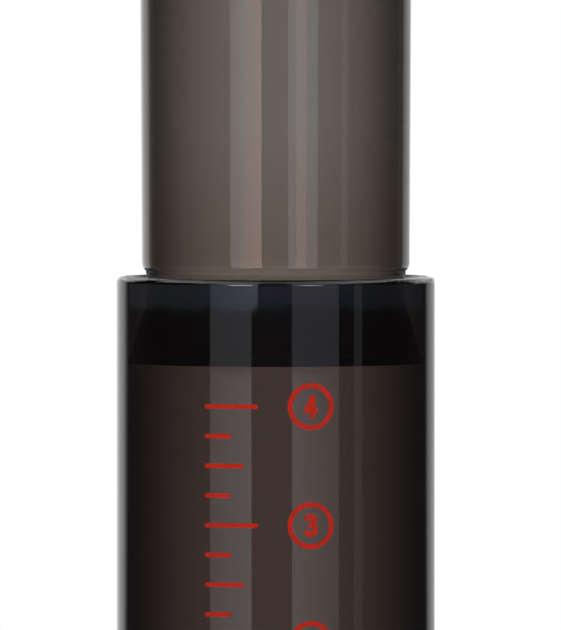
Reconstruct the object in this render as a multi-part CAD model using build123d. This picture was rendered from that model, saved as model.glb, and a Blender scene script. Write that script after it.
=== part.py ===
from build123d import *
import os
from math import cos, degrees, hypot, radians, sin

# Manual piston coffee press, standing on its filter cap with the plunger part of the way in.
# Millimetres and degrees, +Z up, front towards -Y, origin at the centre of the cap's flat base.

# Chamber tube
chamber_bore = 60.0
chamber_wall = 1.95
chamber_length = 119.0
chamber_foot_wall = 1.5
chamber_foot_length = 10.0
rim_outer_rounding = 1.1
rim_bevel_width = 0.7
rim_bevel_drop = 1.05
rim_bevel_top_rounding = 0.1
rim_bevel_foot_rounding = 0.5

# Finger flange round the chamber
flange_thickness = 3.0
flange_across_corners = 105.0
flange_corner_rounding = 10.0
flange_edge_rounding = 1.0
flange_root_rounding = 2.5
seat_recess_clearance = 2.0
seat_recess_depth = 0.8

# Bayonet between chamber and filter cap
lug_count = 6
lug_span = 24.0
lug_height = 2.1
lug_reach = 1.6
lug_rise = 1.9
lug_tip_rounding = 0.5
lug_root = 0.3
stop_span = 3.0
stop_gap = 0.5
cap_lug_height = 2.0
bayonet_clearance = 0.3
bayonet_axial_gap = 0.2

# Filter cap and paper filter
cap_rim_gap = 0.5
cap_floor = 2.5
cap_wall = 2.1
cap_foot_rounding = 1.4
cap_top_rounding = 0.6
grip_count = 48
grip_radius = 1.3
grip_depth = 0.5
grip_foot_level = 3.6
filter_hole_diameter = 1.8
filter_hole_pitch = 5.3
filter_hole_rings = 5
filter_grid_sides = 6
filter_grid_turn = 120.0
paper_edge_gap = 1.4
paper_thickness = 0.2

# Plunger tube
plunger_length = 134.0
plunger_top_clearance = 2.5
plunger_draft = 0.625
plunger_wall = 2.4
plunger_floor = 1.8
plunger_ledge = 0.9
handle_reach = 6.0
handle_thickness = 3.0
handle_edge_rounding = 1.2
handle_root_rounding = 2.0
mouth_rounding = 0.6

# Shoulder and neck between the plunger's tube and its seal
shoulder_taper_height = 1.0
shoulder_inset = 0.42
shoulder_blend = 3.0
shoulder_step = 0.2
shoulder_step_rounding = 0.1
neck_taper_drop = 1.5
neck_blend = 5.0
neck_inset = 1.05
neck_length = 6.15

# Core of the plunger that the seal is pulled over
core_diameter = 45.0
core_end_chamfer = 0.8
bead_reach = 1.1
bead_rise = 2.9
bead_slope = 0.8
bead_land = 1.6

# Rubber seal
seal_height = 12.4
seal_rest_depth = 17.2
seal_floor = 3.4
seal_flank_inset = 1.0
seal_lip_height = 1.4
seal_lip_step = 0.3
seal_lip_rounding = 0.35
seal_top_rounding = 0.3
seal_bore_clearance = 0.08
seal_core_clearance = 0.1

# Print on the chamber
mark_count = 4
mark_diameter = 9.3
mark_line = 0.95
mark_azimuth = 12.6
top_mark_drop = 25.0
first_mark_rise = 10.4
digit_height = 4.8
digit_width = 2.85
digit_line = 1.05
ink_thickness = 0.06
tick_azimuth = -26.0
tick_length = 11.0
tick_half_length = 8.2
tick_short_length = 5.6
tick_line = 0.9
ticks_per_mark = 4

# One overrun for every cut that has to pass a face
overrun = 1.0
pick_tolerance = 0.01
front_angle = -90

# Levels and radii worked out from the sizes above
bore_radius = chamber_bore / 2
chamber_radius = bore_radius + chamber_wall
chamber_foot_radius = bore_radius + chamber_foot_wall
chamber_bottom = cap_floor + paper_thickness
rim_level = chamber_bottom + chamber_length
flange_bottom = chamber_bottom + chamber_foot_length
flange_top = flange_bottom + flange_thickness
cap_bore_radius = chamber_foot_radius + lug_reach + bayonet_clearance
cap_radius = cap_bore_radius + cap_wall
cap_height = flange_bottom - cap_rim_gap
lug_level = chamber_bottom + lug_rise
cap_lug_bottom = lug_level + lug_height + bayonet_axial_gap
cap_lug_top = cap_lug_bottom + cap_lug_height
lug_pitch = 360 / lug_count
seal_bottom = rim_level - seal_rest_depth
seal_top = seal_bottom + seal_height
shoulder_level = seal_top + neck_length
plunger_top = seal_bottom + plunger_length
core_bottom = seal_bottom + seal_floor
core_radius = core_diameter / 2
bead_bottom = core_bottom + bead_rise
plunger_top_radius = bore_radius - plunger_top_clearance
plunger_foot_radius = plunger_top_radius - plunger_draft
neck_radius = plunger_foot_radius - neck_inset
first_mark_level = flange_top + first_mark_rise
mark_spacing = (rim_level - top_mark_drop - first_mark_level) / (mark_count - 1)

# Centre lines of the digits' strokes, as shares of half the box that the centre lines fill:
# two points make a straight stroke, and three an arc that passes through the middle one
digit_stroke_shares = {
    1: [((-0.5, 0.5), (0.2, 1)), ((0.2, 1), (0.2, -1))],
    2: [((-0.95, 0.55), (0.1, 1), (0.85, 0.3)), ((0.85, 0.3), (-0.95, -1)), ((-0.95, -1), (1, -1))],
    3: [((-0.9, 0.75), (0.8, 0.62), (0, 0.08)), ((0, 0.08), (0.9, -0.6), (-0.95, -0.72))],
    4: [((0.4, -1), (0.4, 1)), ((0.4, 1), (-1, -0.4)), ((-1, -0.4), (1, -0.4))],
}


def turned(points):
    """A solid of revolution about Z from (radius, level) points."""
    outline = Polyline(*[(radius, 0, level) for radius, level in points], close=True)
    return revolve(make_face(outline), Axis.Z)


def ring(outer, inner, low, high):
    """A round ring about Z between two levels."""
    return turned([(inner, low), (outer, low), (outer, high), (inner, high)])


def rounded(shape, radius, level, rounding):
    """The shape with its round edge of that radius and level rounded off."""
    edges = [
        edge
        for edge in shape.edges().filter_by(GeomType.CIRCLE)
        if abs(edge.radius - radius) < pick_tolerance
        and abs(edge.arc_center.Z - level) < pick_tolerance
        and hypot(edge.arc_center.X, edge.arc_center.Y) < pick_tolerance
    ]
    return fillet(edges, rounding)


def sector(tip_radius, root_radius, low, high, azimuth, span, tip_rounding=0):
    """Part of a ring about an azimuth from the front, with the corners at its tip rounded."""
    start = front_angle + azimuth - span / 2
    tip = CenterArc((0, 0), tip_radius, start, span)
    root = CenterArc((0, 0), root_radius, start, span)
    section = make_face([tip, root, Line(tip @ 0, root @ 0), Line(tip @ 1, root @ 1)])
    if tip_rounding:
        corners = [
            corner for corner in section.vertices()
            if abs(hypot(corner.X, corner.Y) - tip_radius) < pick_tolerance
        ]
        section = fillet(corners, tip_rounding)
    return Pos(0, 0, low) * extrude(section, high - low)


def flange():
    """The six-sided finger flange, recessed below round the tube so that the cap clears it."""
    outline = RegularPolygon(flange_across_corners / 2, lug_count)
    outline = fillet(outline.vertices(), flange_corner_rounding)
    plate = Pos(0, 0, flange_bottom) * extrude(outline, flange_thickness)
    long_edges = plate.edges().group_by(Axis.Z)
    plate = fillet(long_edges[0] + long_edges[-1], flange_edge_rounding)
    recess_top = flange_bottom + seat_recess_depth
    recess = ring(cap_radius + seat_recess_clearance, 0, flange_bottom - overrun, recess_top)
    return plate - recess


def chamber():
    """The clear brewing tube with its rounded and bevelled rim, finger flange and bayonet lugs."""
    tube_foot = flange_top - flange_thickness / 2
    bevel_radius = bore_radius + rim_bevel_width
    bevel_foot = rim_level - rim_bevel_drop
    tube = turned([
        (bore_radius, tube_foot),
        (chamber_radius, tube_foot),
        (chamber_radius, rim_level),
        (bevel_radius, rim_level),
        (bore_radius, bevel_foot),
    ])
    foot = ring(chamber_foot_radius, bore_radius, chamber_bottom, flange_top)
    bore = ring(bore_radius, 0, chamber_bottom - overrun, rim_level + overrun)
    body = tube + foot + (flange() - bore)
    body = rounded(body, chamber_radius, flange_top, flange_root_rounding)
    body = rounded(body, chamber_radius, rim_level, rim_outer_rounding)
    body = rounded(body, bevel_radius, rim_level, rim_bevel_top_rounding)
    body = rounded(body, bore_radius, bevel_foot, rim_bevel_foot_rounding)
    root = chamber_foot_radius - lug_root
    tip = chamber_foot_radius + lug_reach
    for number in range(lug_count):
        middle = number * lug_pitch
        body += sector(tip, root, lug_level, lug_level + lug_height, middle, lug_span, lug_tip_rounding)
        stop_middle = middle + lug_span / 2 + stop_gap + stop_span / 2
        body += sector(tip, root, lug_level, cap_lug_top, stop_middle, stop_span, lug_tip_rounding)
    return body


def filter_hole_places():
    """Centres of the filter's holes on rings of a six-sided grid; the middle one is left solid."""
    places = []
    for ring_number in range(1, filter_hole_rings + 1):
        for side in range(filter_grid_sides):
            start = radians(360 / filter_grid_sides * side)
            turn = start + radians(filter_grid_turn)
            for step in range(ring_number):
                x = filter_hole_pitch * (ring_number * cos(start) + step * cos(turn))
                y = filter_hole_pitch * (ring_number * sin(start) + step * sin(turn))
                places.append((x, y))
    return places


def grip_flutes():
    """Upright flutes round the cap's side, round at the foot."""
    path_radius = cap_radius + grip_radius - grip_depth
    flute = Pos(0, 0, grip_foot_level) * extrude(Circle(grip_radius), cap_height)
    flute += Pos(0, 0, grip_foot_level) * Sphere(grip_radius)
    turns = [360 * number / grip_count for number in range(grip_count)]
    return [Rot(Z=turn) * Pos(path_radius, 0, 0) * flute for turn in turns]


def filter_cap():
    """The perforated cap that holds the paper, with grip flutes and inner bayonet lugs."""
    cup = ring(cap_radius, 0, 0, cap_height) - ring(cap_bore_radius, 0, cap_floor, cap_height + overrun)
    cup = rounded(cup, cap_radius, 0, cap_foot_rounding)
    cup = rounded(cup, cap_radius, cap_height, cap_top_rounding)
    cup = rounded(cup, cap_bore_radius, cap_height, cap_top_rounding)
    cup -= grip_flutes()
    hole = Pos(0, 0, -overrun) * extrude(Circle(filter_hole_diameter / 2), cap_floor + 2 * overrun)
    cup -= [Pos(x, y, 0) * hole for x, y in filter_hole_places()]
    tip = chamber_foot_radius + bayonet_clearance
    root = cap_bore_radius + lug_root
    for number in range(lug_count):
        middle = (number + 0.5) * lug_pitch
        cup += sector(tip, root, cap_lug_bottom, cap_lug_top, middle, lug_span, lug_tip_rounding)
    return cup


def paper_filter():
    """The round paper that lies on the cap's floor under the chamber's end."""
    return ring(cap_bore_radius - paper_edge_gap, 0, cap_floor, chamber_bottom)


def core_outline(clearance):
    """Outer (radius, level) points of the core in the seal, from the top down, grown by a clearance."""
    inner = core_radius + clearance
    outer = core_radius + bead_reach + clearance
    return [
        (inner, seal_top),
        (inner, bead_bottom + 2 * bead_slope + bead_land + clearance),
        (outer, bead_bottom + bead_slope + bead_land + clearance),
        (outer, bead_bottom + bead_slope - clearance),
        (inner, bead_bottom - clearance),
        (inner, core_bottom + core_end_chamfer),
    ]


def plunger():
    """The hollow plunger: handle flange, drafted tube, shoulder, neck, and the core for the seal."""
    top_inside = plunger_top_radius - plunger_wall
    foot_inside = plunger_foot_radius - plunger_wall
    core_inside = core_radius - plunger_wall
    handle_radius = plunger_top_radius + handle_reach
    shoulder_end = plunger_foot_radius - shoulder_inset
    taper_top = shoulder_level + shoulder_taper_height
    neck_taper_foot = shoulder_level - neck_taper_drop
    handle_bottom = plunger_top - handle_thickness
    outside = [
        (handle_radius, plunger_top),
        (handle_radius, handle_bottom),
        (plunger_top_radius, handle_bottom),
        (plunger_foot_radius, taper_top),
        (shoulder_end, shoulder_level),
        (shoulder_end - shoulder_step, shoulder_level),
        (neck_radius, neck_taper_foot),
        (neck_radius, seal_top),
    ]
    core = core_outline(0) + [(core_radius - core_end_chamfer, core_bottom)]
    inside = [
        (0, core_bottom),
        (0, core_bottom + plunger_floor),
        (core_inside, core_bottom + plunger_floor),
        (core_inside, seal_top + plunger_ledge),
        (foot_inside, seal_top + plunger_ledge),
        (top_inside, plunger_top),
    ]
    body = turned(outside + core + inside)
    body = rounded(body, plunger_foot_radius, taper_top, shoulder_blend)
    body = rounded(body, shoulder_end, shoulder_level, shoulder_step_rounding)
    body = rounded(body, neck_radius, neck_taper_foot, neck_blend)
    body = rounded(body, plunger_top_radius, handle_bottom, handle_root_rounding)
    body = rounded(body, handle_radius, handle_bottom, handle_edge_rounding)
    body = rounded(body, handle_radius, plunger_top, handle_edge_rounding)
    body = rounded(body, top_inside, plunger_top, mouth_rounding)
    return rounded(body, core_inside, core_bottom + plunger_floor, mouth_rounding)


def plunger_seal():
    """The rubber piston that grips the plunger's core and wipes the chamber's bore."""
    lip_radius = bore_radius - seal_bore_clearance
    lip_top = seal_bottom + seal_lip_height
    outside = [
        (neck_radius, seal_top),
        (bore_radius - seal_flank_inset, lip_top + seal_lip_step),
        (lip_radius, lip_top),
        (lip_radius, seal_bottom),
        (0, seal_bottom),
    ]
    socket = core_outline(seal_core_clearance)
    socket_foot = [(core_radius + seal_core_clearance, core_bottom), (0, core_bottom)]
    body = turned(outside + list(reversed(socket[:-1] + socket_foot)))
    body = rounded(body, neck_radius, seal_top, seal_top_rounding)
    return rounded(body, lip_radius, seal_bottom, seal_lip_rounding)


def stroke(points):
    """One round-ended stroke of a digit, straight or along an arc."""
    reach_x = (digit_width - digit_line) / 2
    reach_y = (digit_height - digit_line) / 2
    places = [(reach_x * across, reach_y * up) for across, up in points]
    line = Line(*places) if len(places) == 2 else ThreePointArc(*places)
    return SlotArc(line, digit_line)


def printed(flat, azimuth, level):
    """A flat drawing laid as a film of ink on the chamber at an azimuth from the front."""
    turn = radians(azimuth)
    ahead = (sin(turn), -cos(turn), 0)
    across = (cos(turn), sin(turn), 0)
    stamp = extrude(Plane((0, 0, level), x_dir=across, z_dir=ahead) * flat, chamber_radius + overrun)
    low = level - mark_diameter
    high = level + mark_diameter
    return stamp & ring(chamber_radius + ink_thickness, chamber_radius, low, high)


def mark(number):
    """A numbered ring printed on the chamber: the ring's film and the digit's film."""
    level = first_mark_level + (number - 1) * mark_spacing
    circle = Circle(mark_diameter / 2) - Circle(mark_diameter / 2 - mark_line)
    digit = Sketch() + [stroke(points) for points in digit_stroke_shares[number]]
    films = printed(circle, mark_azimuth, level).solids() + printed(digit, mark_azimuth, level).solids()
    return Compound(children=films)


def scale_ticks():
    """Plain graduation bars: long at each numbered level, shorter at the half and quarter levels."""
    bars = []
    for number in range((mark_count - 1) * ticks_per_mark + 1):
        length = tick_short_length
        if number % (ticks_per_mark // 2) == 0:
            length = tick_half_length
        if number % ticks_per_mark == 0:
            length = tick_length
        azimuth = tick_azimuth + degrees(length / 2 / chamber_radius)
        level = first_mark_level + number / ticks_per_mark * mark_spacing
        bars += printed(SlotOverall(length, tick_line), azimuth, level).solids()
    return Compound(children=bars)


def export(name, shape):
    """Write one node's solids."""
    export_step(shape, f"parts/{name}.step")


os.makedirs("parts", exist_ok=True)
export("chamber", chamber())
export("filter_cap", filter_cap())
export("paper_filter", paper_filter())
export("plunger", plunger())
export("plunger_seal", plunger_seal())
export("scale_ticks", scale_ticks())
for mark_number in range(1, mark_count + 1):
    export(f"mark_{mark_number}", mark(mark_number))
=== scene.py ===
from math import cos, hypot, pi, radians, sin

import bmesh
import bpy
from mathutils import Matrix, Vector


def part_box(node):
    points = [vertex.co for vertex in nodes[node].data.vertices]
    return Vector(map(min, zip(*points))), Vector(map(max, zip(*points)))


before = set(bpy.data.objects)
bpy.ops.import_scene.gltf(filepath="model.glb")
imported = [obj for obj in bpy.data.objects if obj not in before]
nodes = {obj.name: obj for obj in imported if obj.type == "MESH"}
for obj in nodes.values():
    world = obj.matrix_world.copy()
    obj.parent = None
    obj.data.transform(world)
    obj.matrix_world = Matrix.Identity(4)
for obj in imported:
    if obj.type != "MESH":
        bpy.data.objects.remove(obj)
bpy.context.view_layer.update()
rim_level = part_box("chamber")[1][2]

# Camera: the photograph's frame, scale and angle
image_width = 561
image_height = 630
photo_pixels_per_metre = 4983.0
photo_axis_pixel = 275.8
photo_rim_pixel = 276.4
camera_distance = 2.0
camera_elevation = radians(1.6)
sensor_width = 0.036
nearest_seen = 0.01
farthest_seen = 100.0

# Clear plastic: how it bends and absorbs light, how rough it is, and how far its skin waves
plastic_ior = 1.49
absorption_per_metre = 1000.0
plastic_roughness = 0.03
roughness_shares = (0.7, 1.3)
slant_blend_share = 0.5
chamber_waviness = 0.000004
plunger_waviness = 0.000012

# The plunger's colour deepens between these heights above the chamber's rim; painted shade darkens its neck
# between these heights just above the rim, fading out over these slants
foot_tint_low = 0.006
foot_tint_high = 0.03
neck_shade_low = 0.0005
neck_shade_high = 0.0014
neck_shade_slants = (0.5, 0.75)

# The height of the grain on the opaque pieces, and the level below which the cap is scuffed
rubber_grain_height = 0.00003
cap_grain_height = 0.000025
paper_grain_height = 0.00005
cap_scuff_top = 0.003

# The levels at which the tubes are measured for the lamps
chamber_measuring_reach = 0.02
plunger_measuring_rise = 0.03
plunger_measuring_reach = 0.05

# The studio, by kind of ray; a strength of 1 is white
horizon_white = 1.0
fill_level = 0.85

# What a gloss mirrors of the backdrop, by degrees from straight behind the press
backdrop = (
    (-180, 0.075),
    (-90, 0.03),
    (-46, 0.025),
    (-41.5, 0.26),
    (-37, 0.76),
    (-27, 0.86),
    (-18, 1),
    (10, 1),
    (15, 0.68),
    (27, 0.64),
    (36, 0.48),
    (41, 0.06),
    (43, 0.02),
    (90, 0.025),
    (180, 0.075),
)
backdrop_behind_blue = 1.3

# The floor, and the stretch over which it fades into the backdrop
floor_radius = 60.0
floor_corners = 128
floor_colour = (0.86, 0.86, 0.87)
floor_near = 0.12
floor_far = 0.55

# Softboxes: how far off, and how high they stand above, beside and below the seal
softbox_distance = 0.5
softbox_foot = 0.004
softbox_head = 0.9
seal_foot_in_softbox = 0.0866
seal_top_in_softbox = 0.1028
sheen_head = 0.112
low_heights = (softbox_foot, seal_foot_in_softbox)
seal_heights = (seal_foot_in_softbox, seal_top_in_softbox)
high_heights = (seal_top_in_softbox, softbox_head)
whole_heights = (softbox_foot, softbox_head)
sheen_heights = (seal_top_in_softbox, sheen_head)

# The stretches of a tube's surface, in degrees from the front, that mirror the softboxes
left_on_chamber = (-24.0, -8.6)
left_high_on_chamber = (-24.0, -6.4)
right_on_chamber = (5.8, 23.0)
far_right_on_chamber = (29.0, 32.4)

# Lamps are given by name, stretch, heights, and their colours at the first and last side, where 1 is white
softboxes_on_chamber = (
    ("left_low", left_on_chamber, low_heights, (0.8, 0.8, 0.8), (1.25, 1.25, 1.25)),
    ("left_seal", left_on_chamber, seal_heights, (0.5, 0.5, 0.54), (0.54, 0.54, 0.58)),
    ("left_high", left_high_on_chamber, high_heights, (0.55, 0.73, 1.02), (0.98, 1.15, 1.33)),
    ("right_low", right_on_chamber, low_heights, (1.05, 1.05, 1.05), (0.52, 0.52, 0.5)),
    ("right_seal", right_on_chamber, seal_heights, (0.46, 0.45, 0.54), (0.42, 0.41, 0.5)),
    ("right_high", right_on_chamber, high_heights, (0.54, 0.61, 0.77), (0.49, 0.53, 0.69)),
    ("far_right", far_right_on_chamber, whole_heights, (0.25, 0.25, 0.25), (0.25, 0.25, 0.25)),
)

# Faint bluish panels mirrored by the chamber's wall above its seal, between the softboxes
sheens_on_chamber = (
    ("far_left", (-66.0, -45.0), (0.05, 0.06, 0.09), (0.11, 0.16, 0.2)),
    ("left", (-45.0, -24.0), (0.11, 0.16, 0.2), (0.14, 0.22, 0.32)),
    ("middle", (-6.4, 5.8), (0.1, 0.2, 0.3), (0.09, 0.17, 0.26)),
    ("right", (23.0, 44.0), (0.05, 0.14, 0.22), (0.06, 0.085, 0.13)),
    ("far_right", (44.0, 66.0), (0.06, 0.08, 0.13), (0.02, 0.02, 0.05)),
)

# Softboxes mirrored by the plunger's wall
strips_on_plunger = (
    ("left", (-19.6, -13.2), (1.1, 1.12, 1.1), (1.75, 1.75, 1.7)),
    ("left_warm", (-13.2, -6.0), (2.3, 1.8, 1.65), (2.8, 2.0, 1.7)),
    ("right", (5.2, 17.9), (1.05, 1.12, 1.15), (1.05, 1.12, 1.15)),
    ("right_warm", (8.7, 13.0), (1.15, 0.55, 0.42), (1.15, 0.55, 0.42)),
    ("far_right", (28.5, 32.0), (0.4, 0.4, 0.4), (0.4, 0.4, 0.4)),
)

# Low strips between the softboxes and the press, mirrored by the plunger's shoulder: distance and head
low_strips = ((0.2, 0.086), (0.09, 0.07))

# Bright lamps mirrored as short lines by the rounded rim, and panels overhead as one long line
rim_lamp_heights = (0.118, 0.2)
rim_lamps = (
    ("left", (-17.0, -8.6), (11.0, 11.0, 11.2)),
    ("right", (8.0, 17.5), (8.5, 8.5, 8.8)),
)
overhead_height = 0.7
overhead_depths = (-0.7, 0.4)
overhead_reach = 1.0
overhead_far_level = (2.6, 2.6, 2.7)
overhead_near_level = (0.7, 0.7, 0.73)

# Panels high behind the press, mirrored by the far side of the rim
back_panel_depth = 0.8
back_panel_places = (0.25, 1.05)
back_panel_heights = (0.33, 0.95)
back_panel_level = (0.65, 0.65, 0.65)


def radius_at(name, level, reach):
    """A node's outer radius round the axis, near a level."""
    places = [corner.co for corner in nodes[name].data.vertices if abs(corner.co.z - level) < reach]
    return max(hypot(place.x, place.y) for place in places)


def new_material(name):
    """An empty node material with its output; returns the material, its tree and the output."""
    material = bpy.data.materials.new(name)
    material.use_nodes = True
    tree = material.node_tree
    tree.nodes.clear()
    output = tree.nodes.new("ShaderNodeOutputMaterial")
    return material, tree, output


def principled(tree, output, **values):
    """A Principled shader joined to the output."""
    shader = tree.nodes.new("ShaderNodeBsdfPrincipled")
    for key, value in values.items():
        shader.inputs[key.replace("_", " ")].default_value = value
    tree.links.new(shader.outputs[0], output.inputs["Surface"])
    return shader


def noise(tree, scale, detail, roughness, stretch=(1, 1, 1)):
    """Noise in the object's own coordinates, stretched along its axes."""
    place = tree.nodes.new("ShaderNodeTexCoord")
    mapping = tree.nodes.new("ShaderNodeMapping")
    mapping.inputs["Scale"].default_value = stretch
    tree.links.new(place.outputs["Object"], mapping.inputs["Vector"])
    texture = tree.nodes.new("ShaderNodeTexNoise")
    texture.inputs["Scale"].default_value = scale
    texture.inputs["Detail"].default_value = detail
    texture.inputs["Roughness"].default_value = roughness
    tree.links.new(mapping.outputs[0], texture.inputs["Vector"])
    return texture.outputs[0]


def remap(tree, source, low, high, from_low=0.0, from_high=1.0, smooth=False):
    """A value spread between two others, from a stretch that goes from 0 to 1 if none is given."""
    mapped = tree.nodes.new("ShaderNodeMapRange")
    if smooth:
        mapped.interpolation_type = "SMOOTHSTEP"
    mapped.inputs["From Min"].default_value = from_low
    mapped.inputs["From Max"].default_value = from_high
    mapped.inputs["To Min"].default_value = low
    mapped.inputs["To Max"].default_value = high
    tree.links.new(source, mapped.inputs["Value"])
    return mapped.outputs[0]


def blend_colours(tree, share, first, second):
    """One colour turning into another as the share goes from 0 to 1."""
    mixed = tree.nodes.new("ShaderNodeMix")
    mixed.data_type = "RGBA"
    mixed.inputs["A"].default_value = (*first, 1)
    mixed.inputs["B"].default_value = (*second, 1)
    tree.links.new(share, mixed.inputs["Factor"])
    return mixed.outputs["Result"]


def bump(tree, shader, source, distance, strength=0.5):
    """Relief from a height value, in metres."""
    relief = tree.nodes.new("ShaderNodeBump")
    relief.inputs["Strength"].default_value = strength
    relief.inputs["Distance"].default_value = distance
    tree.links.new(source, relief.inputs["Height"])
    tree.links.new(relief.outputs[0], shader.inputs["Normal"])


def level_share(tree, low, high):
    """From 0 at one level of the object to 1 at another."""
    place = tree.nodes.new("ShaderNodeTexCoord")
    parts = tree.nodes.new("ShaderNodeSeparateXYZ")
    tree.links.new(place.outputs["Object"], parts.inputs[0])
    return remap(tree, parts.outputs["Z"], 0.0, 1.0, low, high)


def multiplied(tree, first, second):
    """Two colours multiplied."""
    product = tree.nodes.new("ShaderNodeMix")
    product.data_type = "RGBA"
    product.blend_type = "MULTIPLY"
    product.inputs["Factor"].default_value = 1.0
    tree.links.new(first, product.inputs["A"])
    tree.links.new(second, product.inputs["B"])
    return product.outputs["Result"]


def calculated(tree, operation, *values):
    """A sum, product or choice of values, each a node's output or a number."""
    result = tree.nodes.new("ShaderNodeMath")
    result.operation = operation
    for socket, value in zip(result.inputs, values):
        if isinstance(value, (int, float)):
            socket.default_value = value
        else:
            tree.links.new(value, socket)
    return result.outputs[0]


def added(tree, first, second, second_share):
    """One value plus a share of another."""
    return calculated(tree, "MULTIPLY_ADD", second, second_share, first)


def paint(tree, shader, share, first, second):
    """The shader's colour, from one to another by a share."""
    tree.links.new(blend_colours(tree, share, first, second), shader.inputs["Base Color"])


def clear_plastic(name, absorb, edge_painted_shade, edge_shade_reach, foot_tint, neck_painted_shade, waviness):
    """Smoke-grey clear plastic: a tinted body, deeper at its foot, under a polished skin, with painted shade
    darkening its colour where it is seen at a slant and at its neck.
    """
    material, tree, output = new_material(name)
    shader = principled(tree, output, Transmission_Weight=1.0, IOR=plastic_ior)
    # Painted shade: the colour darkens where the surface is seen at a slant
    slant = tree.nodes.new("ShaderNodeLayerWeight")
    slant.inputs["Blend"].default_value = slant_blend_share
    edge = remap(tree, slant.outputs["Facing"], 0.0, 1.0, 0.0, edge_shade_reach, smooth=True)
    foot = level_share(tree, rim_level + foot_tint_low, rim_level + foot_tint_high)
    # Painted shade on the neck just above the rim, fading out where the neck is seen at a slant
    neck = level_share(tree, rim_level + neck_shade_low, rim_level + neck_shade_high)
    steep = remap(tree, slant.outputs["Facing"], 0.0, 1.0, *neck_shade_slants)
    edge_shade_colour = blend_colours(tree, edge, (1, 1, 1), edge_painted_shade)
    foot_colour = blend_colours(tree, foot, foot_tint, (1, 1, 1))
    neck_shade_colour = blend_colours(tree, calculated(tree, "MAXIMUM", neck, steep), neck_painted_shade, (1, 1, 1))
    tint_and_shade = multiplied(tree, multiplied(tree, edge_shade_colour, foot_colour), neck_shade_colour)
    tree.links.new(tint_and_shade, shader.inputs["Base Color"])
    flow = noise(tree, scale=60.0, detail=3.0, roughness=0.5, stretch=(1, 1, 0.25))
    least, most = [plastic_roughness * share for share in roughness_shares]
    tree.links.new(remap(tree, flow, least, most), shader.inputs["Roughness"])
    waves = noise(tree, scale=45.0, detail=1.0, roughness=0.4, stretch=(1, 1, 0.3))
    bump(tree, shader, waves, waviness, strength=1.0)
    volume = tree.nodes.new("ShaderNodeVolumeAbsorption")
    volume.inputs["Color"].default_value = (*absorb, 1)
    volume.inputs["Density"].default_value = absorption_per_metre
    tree.links.new(volume.outputs[0], output.inputs["Volume"])
    return material


def chamber_plastic():
    """The chamber's dark smoke grey, faintly brown, with bluish painted shade where it is seen at a slant."""
    absorb = (0.24, 0.13, 0.09)
    # Bluish painted shade where the wall is seen at a slant, and how far it reaches
    edge_painted_shade = (0.22, 0.36, 0.42)
    edge_shade_reach = 0.72
    plain = (1, 1, 1)
    return clear_plastic("clear chamber", absorb, edge_painted_shade, edge_shade_reach, plain, plain, chamber_waviness)


def plunger_plastic():
    """The plunger's lighter smoke grey, faintly brown, and browner towards its shoulder, with painted shade
    at a slant and on its neck just above the rim.
    """
    absorb = (0.59, 0.562, 0.539)
    # Painted shade where the wall is seen at a slant, and on the neck just above the rim
    edge_painted_shade = (0.31, 0.32, 0.305)
    edge_shade_reach = 0.8
    foot_tint = (0.915, 0.862, 0.835)
    neck_painted_shade = (0.6, 0.58, 0.56)
    waves = plunger_waviness
    return clear_plastic("clear plunger", absorb, edge_painted_shade, edge_shade_reach, foot_tint, neck_painted_shade, waves)


def rubber():
    """Matt black moulded rubber, with a faint pale bloom in patches."""
    black = (0.005, 0.005, 0.007)
    bloom = (0.009, 0.009, 0.011)
    bloom_shares = (0.4, 0.7)
    roughness = (0.45, 0.7)
    pore_share = 0.4
    material, tree, output = new_material("seal rubber")
    shader = principled(tree, output, Specular_IOR_Level=0.3)
    patches = noise(tree, scale=140.0, detail=4.0, roughness=0.6)
    paint(tree, shader, remap(tree, patches, 0.0, 1.0, *bloom_shares, smooth=True), black, bloom)
    grain = noise(tree, scale=900.0, detail=4.0, roughness=0.6)
    tree.links.new(remap(tree, grain, *roughness), shader.inputs["Roughness"])
    pores = noise(tree, scale=4000.0, detail=2.0, roughness=0.5)
    bump(tree, shader, added(tree, grain, pores, pore_share), rubber_grain_height)
    return material


def cap_plastic():
    """Black moulded plastic, satin, with a spark-eroded grain and scuffs round the foot that it stands on."""
    black = (0.015, 0.015, 0.017)
    scuffed = (0.034, 0.034, 0.036)
    scuff_shares = (0.52, 0.66)
    roughness = (0.32, 0.5)
    scuff_roughness_share = 0.15
    spark_share = 0.5
    material, tree, output = new_material("cap plastic")
    shader = principled(tree, output)
    grain = noise(tree, scale=1400.0, detail=3.0, roughness=0.6)
    scratches = noise(tree, scale=420.0, detail=5.0, roughness=0.65, stretch=(1, 1, 0.2))
    worn = remap(tree, scratches, 0.0, 1.0, *scuff_shares, smooth=True)
    scuffs = calculated(tree, "MULTIPLY", worn, level_share(tree, cap_scuff_top, 0.0))
    paint(tree, shader, scuffs, black, scuffed)
    gloss = added(tree, remap(tree, grain, *roughness), scuffs, scuff_roughness_share)
    tree.links.new(gloss, shader.inputs["Roughness"])
    sparks = noise(tree, scale=5000.0, detail=2.0, roughness=0.5)
    bump(tree, shader, added(tree, grain, sparks, spark_share), cap_grain_height)
    return material


def paper():
    """White filter paper: fibres lying both ways over a fine creping, cloudy where the pulp is thicker."""
    thin = (0.76, 0.72, 0.64)
    thick = (0.83, 0.8, 0.74)
    pulp_shares = (0.35, 0.65)
    creping_share = 0.6
    material, tree, output = new_material("filter paper")
    shader = principled(tree, output, Roughness=0.9)
    pulp = noise(tree, scale=260.0, detail=5.0, roughness=0.6)
    paint(tree, shader, remap(tree, pulp, 0.0, 1.0, *pulp_shares), thin, thick)
    along = noise(tree, scale=700.0, detail=6.0, roughness=0.7, stretch=(1, 0.15, 1))
    across = noise(tree, scale=700.0, detail=6.0, roughness=0.7, stretch=(0.15, 1, 1))
    creping = noise(tree, scale=1800.0, detail=1.0, roughness=0.5, stretch=(1, 0.1, 1))
    fibres = added(tree, along, across, 1.0)
    bump(tree, shader, added(tree, fibres, creping, creping_share), paper_grain_height)
    return material


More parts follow.
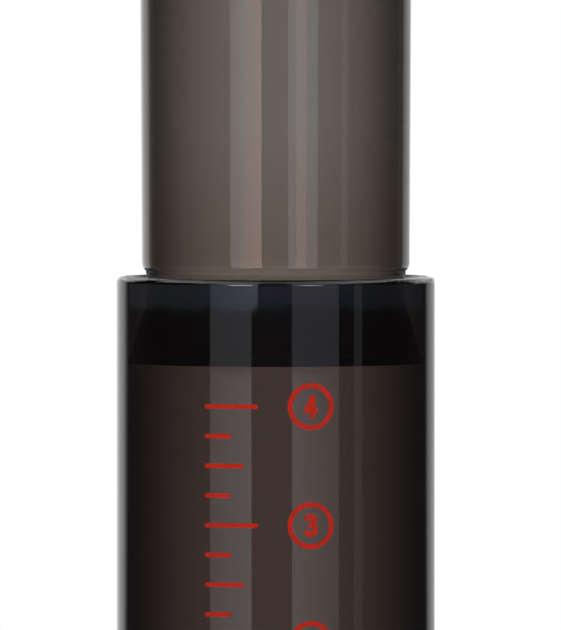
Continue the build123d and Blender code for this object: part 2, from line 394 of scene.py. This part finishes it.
def ink():
    """Orange-red printed ink, slightly uneven."""
    thin = (0.35, 0.014, 0.004)
    thick = (0.48, 0.011, 0.004)
    blotch_shares = (0.35, 0.65)
    roughness = (0.35, 0.5)
    material, tree, output = new_material("printed ink")
    shader = principled(tree, output, Specular_IOR_Level=0.1)
    blotches = noise(tree, scale=700.0, detail=2.0, roughness=0.6)
    paint(tree, shader, remap(tree, blotches, 0.0, 1.0, *blotch_shares), thin, thick)
    grain = noise(tree, scale=1500.0, detail=3.0, roughness=0.6)
    tree.links.new(remap(tree, grain, *roughness), shader.inputs["Roughness"])
    return material


def dress(names, material):
    """Puts one material on every slot of these CAD nodes."""
    for name in names:
        for slot in nodes[name].material_slots:
            slot.material = material


def aim(thing, target):
    """Turns a camera or lamp to look at a point."""
    thing.rotation_euler = (Vector(target) - thing.location).to_track_quat("-Z", "Y").to_euler()


def camera_offset():
    """How far the view's middle lies to the right of the object's axis."""
    return (image_width / 2 - photo_axis_pixel) / photo_pixels_per_metre


def set_camera():
    """The photograph's view: a long lens, just above the rim."""
    metres_high = image_height / photo_pixels_per_metre
    below_rim = (image_height / 2 - photo_rim_pixel) / photo_pixels_per_metre
    target = Vector((camera_offset(), 0, rim_level - below_rim / cos(camera_elevation)))
    data = bpy.data.cameras.new("camera")
    data.sensor_width = sensor_width * 1000
    data.lens = sensor_width * camera_distance / metres_high * 1000
    data.clip_start = nearest_seen
    data.clip_end = farthest_seen
    camera = bpy.data.objects.new("camera", data)
    bpy.context.collection.objects.link(camera)
    camera.location = target + camera_distance * Vector((0, -cos(camera_elevation), sin(camera_elevation)))
    aim(camera, target)
    bpy.context.scene.camera = camera


def backdrop_level(tree, direction):
    """What a gloss mirrors: the white backdrop behind the object, and the dim studio in front of it."""
    parts = tree.nodes.new("ShaderNodeSeparateXYZ")
    tree.links.new(direction, parts.inputs[0])
    turn = calculated(tree, "ARCTAN2", parts.outputs["X"], parts.outputs["Y"])
    ramp = tree.nodes.new("ShaderNodeValToRGB")
    stops = ramp.color_ramp.elements
    for number, (degrees, level) in enumerate(backdrop):
        # A new ramp has two stops already
        stop = stops[number] if number < 2 else stops.new(1.0)
        blue = backdrop_behind_blue if abs(degrees) == 180 else 1
        stop.position = (degrees + 180) / 360
        stop.color = (level, level, level * blue, 1)
    tree.links.new(remap(tree, turn, 0.0, 1.0, -pi, pi), ramp.inputs["Fac"])
    return ramp.outputs["Color"]


def ray_levels(tree, direction):
    """A colour by kind of ray: seen by the camera or through clear plastic, in a gloss, or otherwise."""
    path = tree.nodes.new("ShaderNodeLightPath")
    seen = calculated(tree, "MAXIMUM", path.outputs["Is Camera Ray"], path.outputs["Is Transmission Ray"])
    gloss = blend_colours(tree, path.outputs["Is Glossy Ray"], [fill_level] * 3, [0] * 3)
    tree.links.new(backdrop_level(tree, direction), gloss.node.inputs["B"])
    level = blend_colours(tree, seen, [0] * 3, [horizon_white] * 3)
    tree.links.new(gloss, level.node.inputs["A"])
    return level


def set_world():
    """White to the camera and through the clear plastic; a plain level for the light on the object."""
    world = bpy.data.worlds.new("studio")
    bpy.context.scene.world = world
    world.use_nodes = True
    tree = world.node_tree
    tree.nodes.clear()
    output = tree.nodes.new("ShaderNodeOutputWorld")
    background = tree.nodes.new("ShaderNodeBackground")
    place = tree.nodes.new("ShaderNodeTexCoord")
    tree.links.new(ray_levels(tree, place.outputs["Generated"]), background.inputs["Color"])
    tree.links.new(background.outputs[0], output.inputs["Surface"])


def floor_material():
    """Pale and matt near the object, and as white as the backdrop further out."""
    material, tree, output = new_material("studio floor")
    near = tree.nodes.new("ShaderNodeBsdfDiffuse")
    near.inputs["Color"].default_value = (*floor_colour, 1)
    far = tree.nodes.new("ShaderNodeEmission")
    place = tree.nodes.new("ShaderNodeTexCoord")
    tree.links.new(ray_levels(tree, place.outputs["Object"]), far.inputs["Color"])
    length = tree.nodes.new("ShaderNodeVectorMath")
    length.operation = "LENGTH"
    tree.links.new(place.outputs["Object"], length.inputs[0])
    mixed = tree.nodes.new("ShaderNodeMixShader")
    fade = remap(tree, length.outputs["Value"], 0.0, 1.0, floor_near, floor_far, smooth=True)
    tree.links.new(fade, mixed.inputs["Fac"])
    tree.links.new(near.outputs[0], mixed.inputs[1])
    tree.links.new(far.outputs[0], mixed.inputs[2])
    tree.links.new(mixed.outputs[0], output.inputs["Surface"])
    return material


def set_floor():
    """A plain floor, wide enough for the longest view."""
    mesh = bpy.data.meshes.new("floor")
    shape = bmesh.new()
    bmesh.ops.create_circle(shape, cap_ends=True, segments=floor_corners, radius=floor_radius)
    shape.to_mesh(mesh)
    shape.free()
    floor = bpy.data.objects.new("floor", mesh)
    bpy.context.collection.objects.link(floor)
    floor.data.materials.append(floor_material())


def mirrored_place(tube_radius, degrees, distance):
    """Where the camera's ray lies, at a distance, once a tube's surface has mirrored it."""
    normal = Vector((sin(radians(degrees)), -cos(radians(degrees)), 0))
    place = tube_radius * normal
    ray = (place - Vector((camera_offset(), -camera_distance, 0))).normalized()
    return place + distance * ray.reflect(normal)


def gathered(name, node_names):
    """A collection of CAD nodes that a softbox lights."""
    collection = bpy.data.collections.new(name)
    for node_name in node_names:
        collection.objects.link(nodes[node_name])
    return collection


def panel(name, lit, middle, target, width, height, first, last=None):
    """A rectangular lamp for some nodes, one colour or two from side to side, where 1 is white."""
    data = bpy.data.lights.new(name, "AREA")
    data.shape = "RECTANGLE"
    data.size = width
    data.size_y = height
    data.energy = pi * width * height
    data.use_nodes = True
    tree = data.node_tree
    place = tree.nodes.new("ShaderNodeNewGeometry")
    parts = tree.nodes.new("ShaderNodeSeparateXYZ")
    tree.links.new(place.outputs["Parametric"], parts.inputs[0])
    colour = blend_colours(tree, parts.outputs["X"], first, last or first)
    tree.links.new(colour, tree.nodes["Emission"].inputs["Color"])
    lamp = bpy.data.objects.new(name, data)
    bpy.context.collection.objects.link(lamp)
    lamp.location = middle
    aim(lamp, target)
    lamp.light_linking.receiver_collection = lit
    lamp.visible_camera = False
    lamp.visible_transmission = False


def softbox(name, lit, tube_radius, span, heights, first, last=None, distance=softbox_distance):
    """An upright softbox mirrored by a stretch of a tube."""
    start = mirrored_place(tube_radius, span[0], distance)
    end = mirrored_place(tube_radius, span[1], distance)
    across = end - start
    middle = (start + end) / 2
    middle.z = (heights[0] + heights[1]) / 2
    facing = middle + Vector((0, 0, 1)).cross(across)
    panel(name, lit, middle, facing, across.length, heights[1] - heights[0], first, last)


def overhead(name, lit, start, end, first, last):
    """A panel over the press, from one place to another along X."""
    front, back = overhead_depths
    middle = Vector(((start + end) / 2, (front + back) / 2, rim_level + overhead_height))
    panel(name, lit, middle, middle - Vector((0, 0, 1)), abs(end - start), back - front, first, last)


def behind(name, lit, side, level):
    """A panel high behind the press, on one side."""
    near, far = back_panel_places
    low, high = back_panel_heights
    middle = Vector((side * (near + far) / 2, back_panel_depth, (low + high) / 2))
    panel(name, lit, middle, middle - Vector((0, 1, 0)), far - near, high - low, level)


def light_chamber():
    """Softboxes left and right for all but the plunger, then the lamps for the chamber's rim and wall."""
    rest = gathered("all but the plunger", [name for name in nodes if name != "plunger"])
    radius = radius_at("chamber", rim_level, chamber_measuring_reach)
    for name, span, heights, first, last in softboxes_on_chamber:
        softbox(name, rest, radius, span, heights, first, last)
    chamber_alone = gathered("chamber alone", ["chamber"])
    for name, span, first, last in sheens_on_chamber:
        softbox(f"{name}_sheen", chamber_alone, radius, span, sheen_heights, first, last)
    for name, span, level in rim_lamps:
        softbox(f"{name}_rim", chamber_alone, radius, span, rim_lamp_heights, level)
    overhead("left_overhead", chamber_alone, -overhead_reach, 0, overhead_far_level, overhead_near_level)
    overhead("right_overhead", chamber_alone, 0, overhead_reach, overhead_near_level, overhead_far_level)
    behind("left_behind", chamber_alone, -1, back_panel_level)
    behind("right_behind", chamber_alone, 1, back_panel_level)


def light_plunger():
    """Softboxes left and right for the plunger, each with low strips for its shoulder."""
    alone = gathered("plunger alone", ["plunger"])
    radius = radius_at("plunger", rim_level + plunger_measuring_rise, plunger_measuring_reach)
    for name, span, first, last in strips_on_plunger:
        softbox(f"{name}_plunger", alone, radius, span, whole_heights, first, last)
        for distance, head in low_strips:
            heights = (softbox_foot, head)
            softbox(f"{name}_shoulder", alone, radius, span, heights, first, last, distance)


set_camera()
set_world()
set_floor()
light_chamber()
light_plunger()
dress(["chamber"], chamber_plastic())
dress(["plunger"], plunger_plastic())
dress(["plunger_seal"], rubber())
dress(["filter_cap"], cap_plastic())
dress(["paper_filter"], paper())
dress(["scale_ticks", "mark_1", "mark_2", "mark_3", "mark_4"], ink())

bpy.context.scene.view_settings.view_transform = "Standard"
